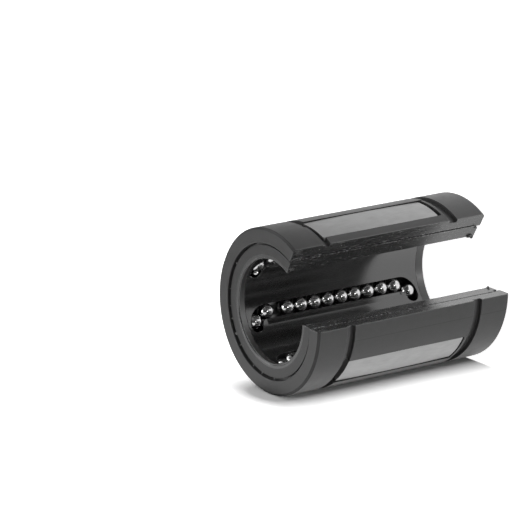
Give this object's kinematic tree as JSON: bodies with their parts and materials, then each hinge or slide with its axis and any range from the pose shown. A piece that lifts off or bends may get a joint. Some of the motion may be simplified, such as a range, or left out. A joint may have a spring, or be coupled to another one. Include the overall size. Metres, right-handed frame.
{
  "type": "open linear ball bearing",
  "caption": "Open linear ball bearing: a side-slotted moulded sleeve with self-aligning steel plates and recirculating ball circuits round an open bore.",
  "frame": {"origin": "on the bearing's axis, in the plane of the lower end face", "axes": "+Z along the shaft axis toward the other end, +X out through the middle of the side opening"},
  "size_m": [0.0299, 0.032, 0.045],
  "materials": {
    "sleeve_polymer": "satin moulded black polymer",
    "retainer_polymer": "satin moulded black polymer",
    "plate_steel": "fine ground hardened steel",
    "ball_steel": "polished bearing balls"
  },
  "bodies": {
    "housing": {"outer_sleeve": "sleeve_polymer", "ball_retainer": "retainer_polymer"},
    "plate_1": {"bearing_plate_1": "plate_steel"},
    "loaded_row_1": {"loaded_balls_1": "ball_steel"},
    "return_row_1": {"return_balls_1": "ball_steel"},
    "upper_turn_1": {"upper_turn_balls_1": "ball_steel"},
    "lower_turn_1": {"lower_turn_balls_1": "ball_steel"},
    "plate_2": {"bearing_plate_2": "plate_steel"},
    "loaded_row_2": {"loaded_balls_2": "ball_steel"},
    "return_row_2": {"return_balls_2": "ball_steel"},
    "upper_turn_2": {"upper_turn_balls_2": "ball_steel"},
    "lower_turn_2": {"lower_turn_balls_2": "ball_steel"},
    "plate_3": {"bearing_plate_3": "plate_steel"},
    "loaded_row_3": {"loaded_balls_3": "ball_steel"},
    "return_row_3": {"return_balls_3": "ball_steel"},
    "upper_turn_3": {"upper_turn_balls_3": "ball_steel"},
    "lower_turn_3": {"lower_turn_balls_3": "ball_steel"},
    "plate_4": {"bearing_plate_4": "plate_steel"},
    "loaded_row_4": {"loaded_balls_4": "ball_steel"},
    "return_row_4": {"return_balls_4": "ball_steel"},
    "upper_turn_4": {"upper_turn_balls_4": "ball_steel"},
    "lower_turn_4": {"lower_turn_balls_4": "ball_steel"},
    "plate_5": {"bearing_plate_5": "plate_steel"},
    "loaded_row_5": {"loaded_balls_5": "ball_steel"},
    "return_row_5": {"return_balls_5": "ball_steel"},
    "upper_turn_5": {"upper_turn_balls_5": "ball_steel"},
    "lower_turn_5": {"lower_turn_balls_5": "ball_steel"}
  },
  "joints": [
    {"name": "plate_align_1", "type": "hinge", "parent": "housing", "child": "plate_1", "pos_m": [0.00929, 0.01087, 0.0231], "axis": [-0.7604, 0.6495, 0], "range_deg": [-0.5, 0.5]},
    {"name": "loaded_run_1", "type": "slide", "parent": "plate_1", "child": "loaded_row_1", "axis": [0, 0, 1], "range_m": [-0.0008, 0.0008]},
    {"name": "return_run_1", "type": "slide", "parent": "housing", "child": "return_row_1", "axis": [0, 0, 1], "range_m": [-0.0008, 0.0008]},
    {"name": "upper_turn_run_1", "type": "hinge", "parent": "housing", "child": "upper_turn_1", "pos_m": [0.00566, 0.01041, 0.0385], "axis": [0.6495, 0.7604, 0], "range_deg": [-22.52, 22.52]},
    {"name": "lower_turn_run_1", "type": "hinge", "parent": "housing", "child": "lower_turn_1", "pos_m": [0.00566, 0.01041, 0.0065], "axis": [0.6495, 0.7604, 0], "range_deg": [-22.52, 22.52]},
    {"name": "plate_align_2", "type": "hinge", "parent": "housing", "child": "plate_2", "pos_m": [-0.00477, 0.01348, 0.0231], "axis": [-0.9427, -0.3338, 0], "range_deg": [-0.5, 0.5]},
    {"name": "loaded_run_2", "type": "slide", "parent": "plate_2", "child": "loaded_row_2", "axis": [0, 0, 1], "range_m": [-0.0008, 0.0008]},
    {"name": "return_run_2", "type": "slide", "parent": "housing", "child": "return_row_2", "axis": [0, 0, 1], "range_m": [-0.0008, 0.0008]},
    {"name": "upper_turn_run_2", "type": "hinge", "parent": "housing", "child": "upper_turn_2", "pos_m": [-0.00619, 0.0101, 0.0385], "axis": [-0.3338, 0.9427, 0], "range_deg": [-22.52, 22.52]},
    {"name": "lower_turn_run_2", "type": "hinge", "parent": "housing", "child": "lower_turn_2", "pos_m": [-0.00619, 0.0101, 0.0065], "axis": [-0.3338, 0.9427, 0], "range_deg": [-22.52, 22.52]},
    {"name": "plate_align_3", "type": "hinge", "parent": "housing", "child": "plate_3", "pos_m": [-0.01406, 0.00261, 0.0231], "axis": [-0.1823, -0.9832, 0], "range_deg": [-0.5, 0.5]},
    {"name": "loaded_run_3", "type": "slide", "parent": "plate_3", "child": "loaded_row_3", "axis": [0, 0, 1], "range_m": [-0.0008, 0.0008]},
    {"name": "return_run_3", "type": "slide", "parent": "housing", "child": "return_row_3", "axis": [0, 0, 1], "range_m": [-0.0008, 0.0008]},
    {"name": "upper_turn_run_3", "type": "hinge", "parent": "housing", "child": "upper_turn_3", "pos_m": [-0.01184, -0.00031, 0.0385], "axis": [-0.9832, 0.1823, 0], "range_deg": [-22.52, 22.52]},
    {"name": "lower_turn_run_3", "type": "hinge", "parent": "housing", "child": "lower_turn_3", "pos_m": [-0.01184, -0.00031, 0.0065], "axis": [-0.9832, 0.1823, 0], "range_deg": [-22.52, 22.52]},
    {"name": "plate_align_4", "type": "hinge", "parent": "housing", "child": "plate_4", "pos_m": [-0.00929, -0.01087, 0.0231], "axis": [0.7604, -0.6495, 0], "range_deg": [-0.5, 0.5]},
    {"name": "loaded_run_4", "type": "slide", "parent": "plate_4", "child": "loaded_row_4", "axis": [0, 0, 1], "range_m": [-0.0008, 0.0008]},
    {"name": "return_run_4", "type": "slide", "parent": "housing", "child": "return_row_4", "axis": [0, 0, 1], "range_m": [-0.0008, 0.0008]},
    {"name": "upper_turn_run_4", "type": "hinge", "parent": "housing", "child": "upper_turn_4", "pos_m": [-0.00566, -0.01041, 0.0385], "axis": [-0.6495, -0.7604, 0], "range_deg": [-22.52, 22.52]},
    {"name": "lower_turn_run_4", "type": "hinge", "parent": "housing", "child": "lower_turn_4", "pos_m": [-0.00566, -0.01041, 0.0065], "axis": [-0.6495, -0.7604, 0], "range_deg": [-22.52, 22.52]},
    {"name": "plate_align_5", "type": "hinge", "parent": "housing", "child": "plate_5", "pos_m": [0.00477, -0.01348, 0.0231], "axis": [0.9427, 0.3338, 0], "range_deg": [-0.5, 0.5]},
    {"name": "loaded_run_5", "type": "slide", "parent": "plate_5", "child": "loaded_row_5", "axis": [0, 0, 1], "range_m": [-0.0008, 0.0008]},
    {"name": "return_run_5", "type": "slide", "parent": "housing", "child": "return_row_5", "axis": [0, 0, 1], "range_m": [-0.0008, 0.0008]},
    {"name": "upper_turn_run_5", "type": "hinge", "parent": "housing", "child": "upper_turn_5", "pos_m": [0.00619, -0.0101, 0.0385], "axis": [0.3338, -0.9427, 0], "range_deg": [-22.52, 22.52]},
    {"name": "lower_turn_run_5", "type": "hinge", "parent": "housing", "child": "lower_turn_5", "pos_m": [0.00619, -0.0101, 0.0065], "axis": [0.3338, -0.9427, 0], "range_deg": [-22.52, 22.52]}
  ],
  "couplings": [
    {"joint": "return_run_1", "follows": "loaded_run_1", "ratio": -1},
    {"joint": "upper_turn_run_1", "follows": "loaded_run_1", "rad_per_m": -490.87},
    {"joint": "lower_turn_run_1", "follows": "loaded_run_1", "rad_per_m": -490.87},
    {"joint": "return_run_2", "follows": "loaded_run_2", "ratio": -1},
    {"joint": "upper_turn_run_2", "follows": "loaded_run_2", "rad_per_m": -490.87},
    {"joint": "lower_turn_run_2", "follows": "loaded_run_2", "rad_per_m": -490.87},
    {"joint": "return_run_3", "follows": "loaded_run_3", "ratio": -1},
    {"joint": "upper_turn_run_3", "follows": "loaded_run_3", "rad_per_m": -490.87},
    {"joint": "lower_turn_run_3", "follows": "loaded_run_3", "rad_per_m": -490.87},
    {"joint": "return_run_4", "follows": "loaded_run_4", "ratio": -1},
    {"joint": "upper_turn_run_4", "follows": "loaded_run_4", "rad_per_m": -490.87},
    {"joint": "lower_turn_run_4", "follows": "loaded_run_4", "rad_per_m": -490.87},
    {"joint": "return_run_5", "follows": "loaded_run_5", "ratio": -1},
    {"joint": "upper_turn_run_5", "follows": "loaded_run_5", "rad_per_m": -490.87},
    {"joint": "lower_turn_run_5", "follows": "loaded_run_5", "rad_per_m": -490.87}
  ]
}
